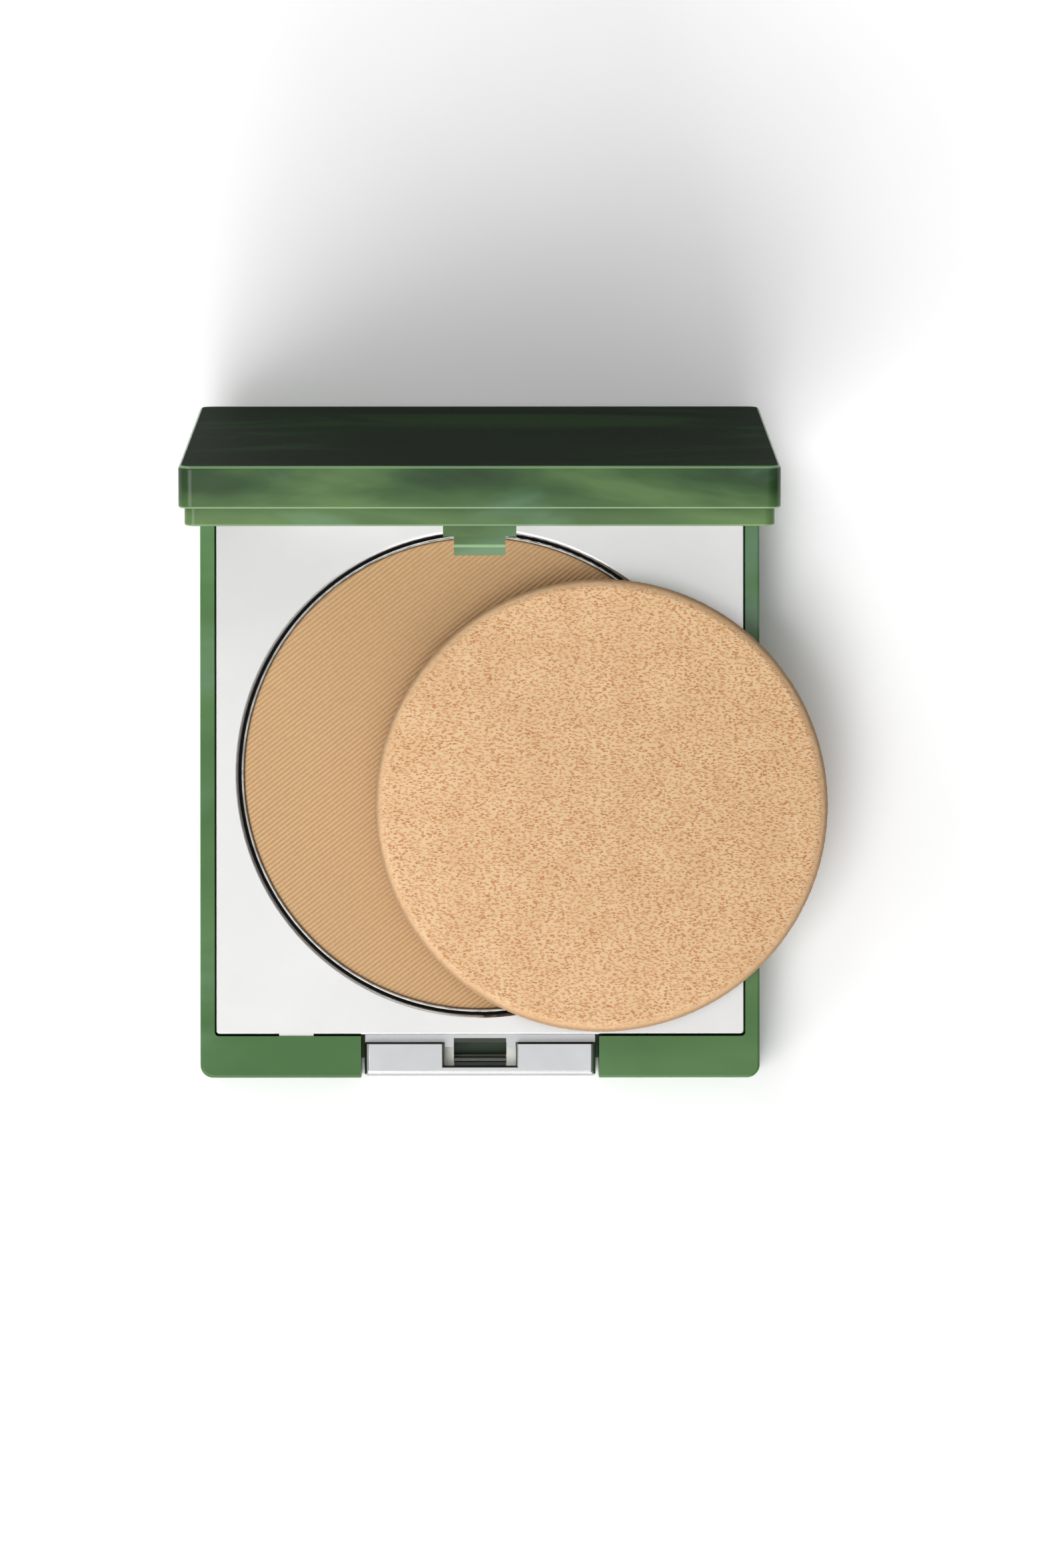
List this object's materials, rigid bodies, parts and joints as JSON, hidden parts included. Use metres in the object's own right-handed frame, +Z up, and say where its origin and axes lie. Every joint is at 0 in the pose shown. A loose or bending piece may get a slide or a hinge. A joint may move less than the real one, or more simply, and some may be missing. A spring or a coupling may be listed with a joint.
{
  "type": "powder compact",
  "caption": "Square marbled-plastic powder compact, lid open on its hinge, with mirror, latch hook, push-button catch, pan of pressed powder and loose round sponge.",
  "frame": {"origin": "middle of the flat underside of the base", "axes": "+Z up out of the base, -Y toward the push-button, +Y toward the hinge, +X to the right seen from the button"},
  "size_m": [0.0784, 0.0841, 0.0838],
  "materials": {
    "green_plastic": "gloss, marbled",
    "silver_plate": "satin metallised",
    "button_chrome": "bright plated",
    "natural_plastic": "matt, unplated",
    "pan_aluminium": "satin",
    "pressed_powder": "matt pressed powder",
    "adhesive": "matt",
    "label_paper": "satin, blank",
    "pin_steel": "drawn wire",
    "mirror": "mirror",
    "sponge_foam": "matt open-cell foam"
  },
  "bodies": {
    "base": {"base_shell": "green_plastic", "insert_plate": "silver_plate", "powder_pan": "pan_aluminium", "powder_cake": "pressed_powder", "pan_glue_1": "adhesive", "pan_glue_2": "adhesive", "pan_glue_3": "adhesive", "base_label": "label_paper", "hinge_pin_right": "pin_steel", "hinge_pin_left": "pin_steel", "button_spring_right": "pin_steel", "button_spring_left": "pin_steel"},
    "button": {"push_button": "button_chrome", "button_slider": "natural_plastic"},
    "lid": {"lid_shell": "green_plastic", "mirror_glass": "mirror", "mirror_tape": "adhesive"},
    "sponge": {"sponge_applicator": "sponge_foam"}
  },
  "joints": [
    {"name": "lid_hinge", "type": "hinge", "parent": "base", "child": "lid", "pos_m": [0, 0.0369, 0.0076], "axis": [-1, 0, 0], "range_deg": [-82.5, 25.5]},
    {"name": "button_press", "type": "slide", "parent": "base", "child": "button", "axis": [0, 1, 0], "range_m": [0, 0.0006], "stiffness_N_per_m": 1200, "springref_m": -0.0006, "deforming": ["button_spring_right", "button_spring_left"]},
    {"name": "sponge_slide", "type": "slide", "parent": "base", "child": "sponge", "axis": [-0.9669, 0.2553, 0], "range_m": [-0.005, 0.0158]}
  ],
  "couplings": [
    {"joint": "sponge_slide", "follows": "lid_hinge", "m_per_rad": -0.010882}
  ]
}
